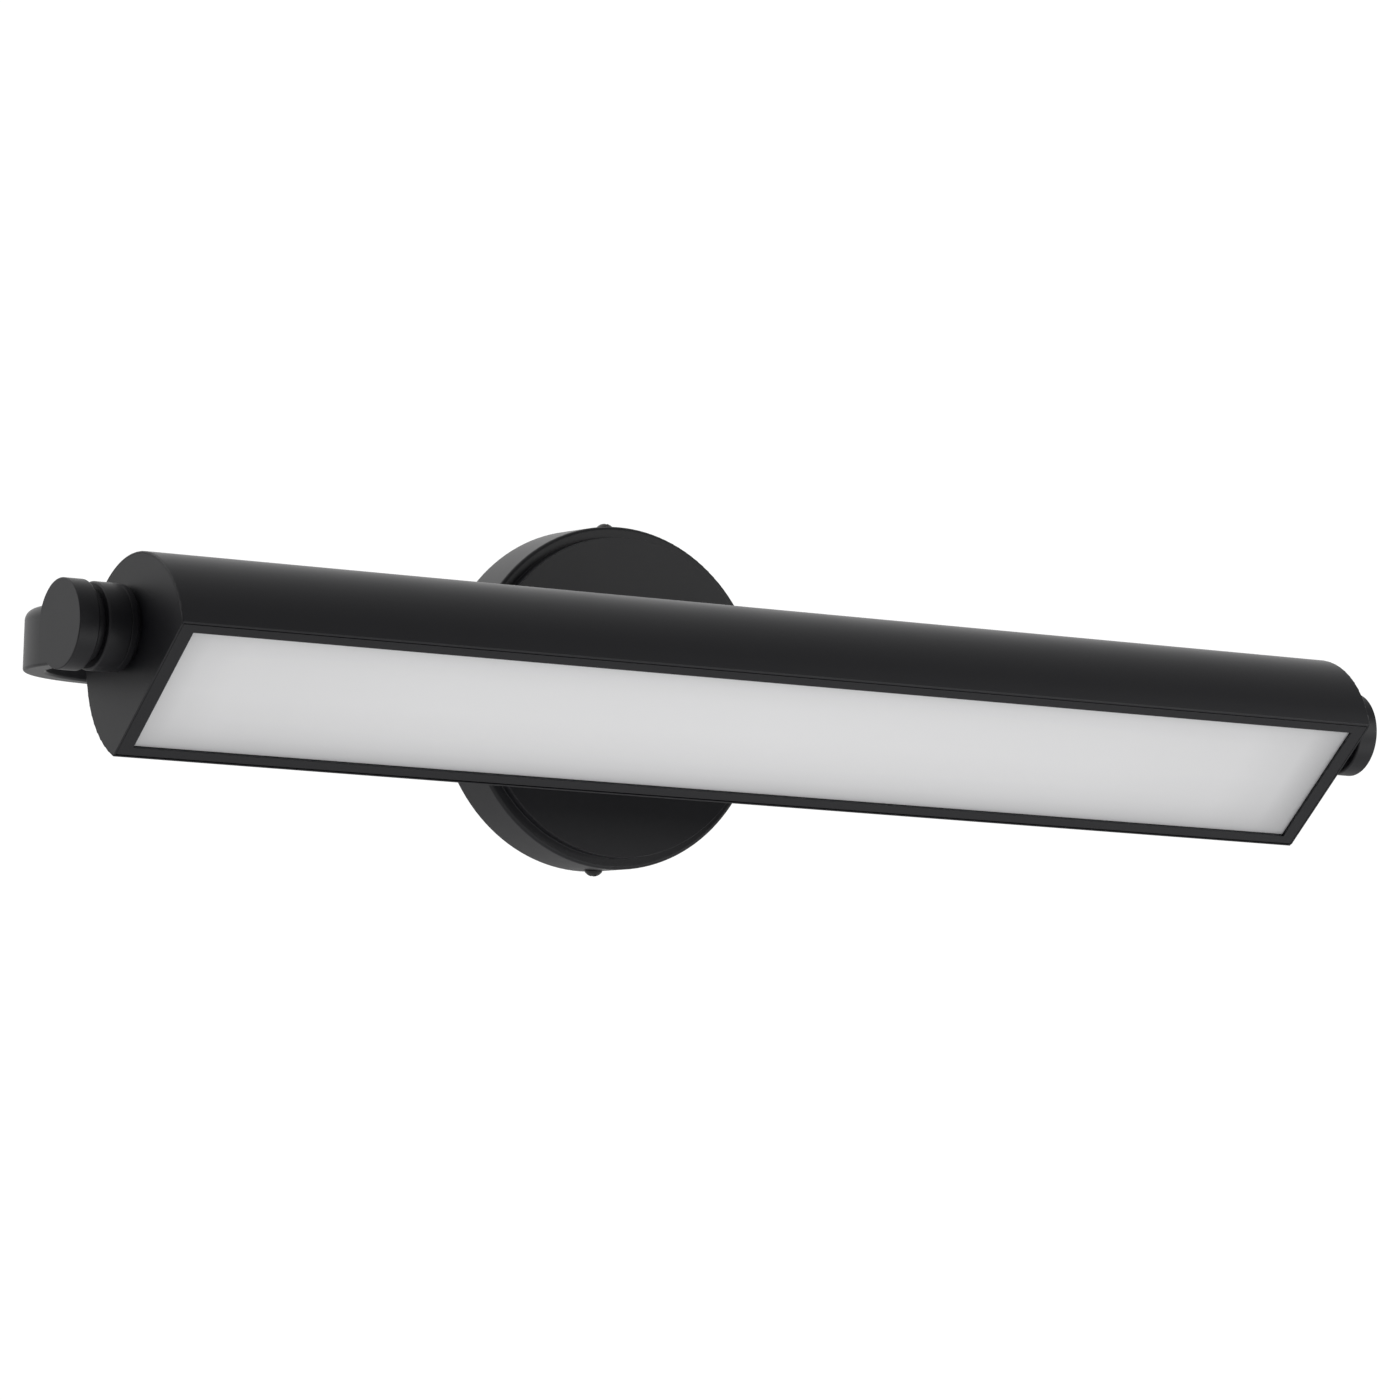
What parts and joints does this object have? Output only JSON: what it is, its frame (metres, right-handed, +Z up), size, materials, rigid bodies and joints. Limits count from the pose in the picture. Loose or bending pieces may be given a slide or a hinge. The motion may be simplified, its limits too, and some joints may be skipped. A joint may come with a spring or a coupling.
{
  "type": "picture light",
  "caption": "Long D-shaped LED lamp head with an opal diffuser, tilting between the ends of a bent flat arm on a round wall canopy.",
  "frame": {"origin": "centre of the canopy's back, on the wall", "axes": "+Y into the wall, +X along the lamp head to the right as seen from the room, +Z up"},
  "size_m": [0.549, 0.1532, 0.132],
  "materials": {
    "coated_steel": "matte black powder coat",
    "coated_aluminium": "matte black powder coat",
    "black_screw": "black zinc",
    "zinc_steel": "zinc plated",
    "brass": "turned",
    "green_screw": "green passivated",
    "opal": "opal satin acrylic",
    "white_plastic": "white",
    "driver_case": "off-white moulded",
    "board": "white solder mask",
    "led": "phosphor gel",
    "aluminium": "mill finish",
    "nylon": "black nylon",
    "lead": "black silicone jacket"
  },
  "bodies": {
    "arm": {"mounting_strap": "zinc_steel", "ground_screw": "green_screw", "driver_bracket": "zinc_steel", "bracket_rivets": "aluminium", "led_driver": "driver_case", "driver_screws": "zinc_steel", "input_terminals": "white_plastic", "canopy": "coated_steel", "canopy_screws": "black_screw", "stem_nipple": "zinc_steel", "nipple_washer": "zinc_steel", "nipple_nut": "brass", "nipple_bushing": "nylon", "arm_stem": "coated_steel", "arm_crossbar": "coated_steel", "arm_end_left": "coated_steel", "arm_end_right": "coated_steel", "arm_lead": "lead", "pivot_tube_left": "zinc_steel", "pivot_tube_right": "zinc_steel", "friction_washers": "nylon", "thrust_washers": "zinc_steel", "wave_washers": "zinc_steel", "pivot_lock_nuts": "zinc_steel"},
    "head": {"head_housing": "coated_aluminium", "end_cap_left": "coated_aluminium", "end_cap_right": "coated_aluminium", "pivot_collar_left": "coated_aluminium", "pivot_collar_right": "coated_aluminium", "spacer_rings": "coated_aluminium", "pivot_bushes": "nylon", "collar_screws": "zinc_steel", "stop_pins": "zinc_steel", "front_frame": "coated_aluminium", "diffuser": "opal", "reflector": "white_plastic", "led_carrier": "aluminium", "carrier_screws": "zinc_steel", "led_board_right": "board", "led_board_left": "board", "board_screws": "zinc_steel", "led_chips": "led", "lead_connector": "white_plastic", "head_lead": "lead"}
  },
  "joints": [
    {"name": "head_tilt", "type": "hinge", "parent": "arm", "child": "head", "pos_m": [0, -0.1093, 0.0009], "axis": [1, 0, 0], "range_deg": [-48, 87]}
  ]
}
